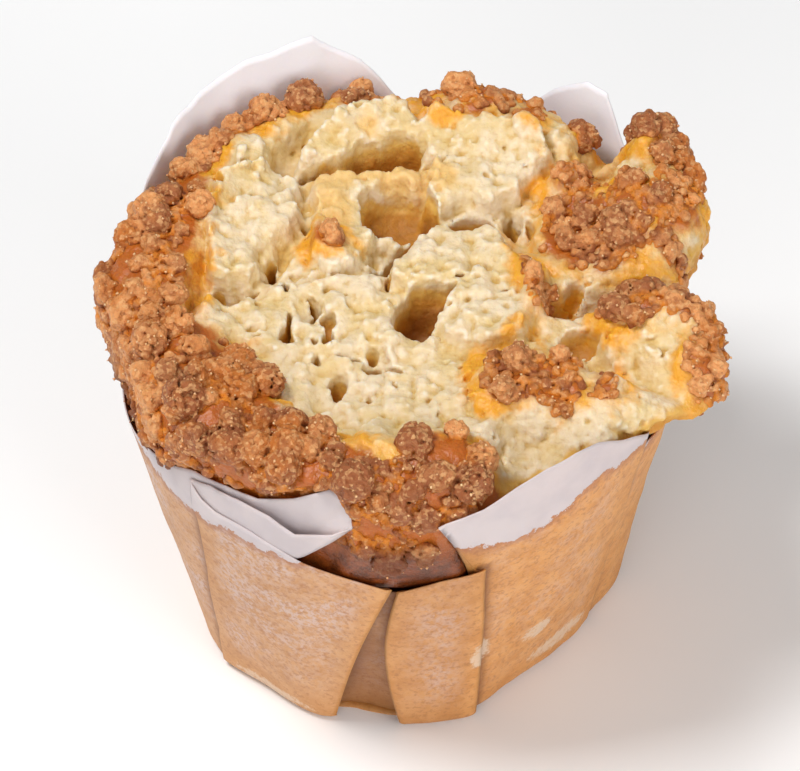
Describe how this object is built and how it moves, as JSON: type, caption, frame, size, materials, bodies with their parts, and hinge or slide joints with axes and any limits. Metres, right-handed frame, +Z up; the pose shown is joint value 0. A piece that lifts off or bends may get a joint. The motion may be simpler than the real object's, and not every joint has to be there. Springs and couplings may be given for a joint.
{
  "type": "streusel muffin",
  "caption": "Streusel muffin with a burst, torn crumb top, baked and served in its pleated parchment tulip case.",
  "frame": {"origin": "centre of the paper case's flat base, on the surface the muffin stands on", "axes": "+Z up through the crown, -Y towards the viewer of the picture, +X towards the two torn lobes"},
  "size_m": [0.0822, 0.0801, 0.0652],
  "materials": {
    "cake": "soft baked crumb, pale and moist where torn, browned sugary streusel round the rim",
    "parchment": "greaseproof parchment, butter-stained brown with a bare greyish white rim"
  },
  "bodies": {
    "root": {"cake": "cake", "paper_case": "parchment"}
  },
  "joints": []
}
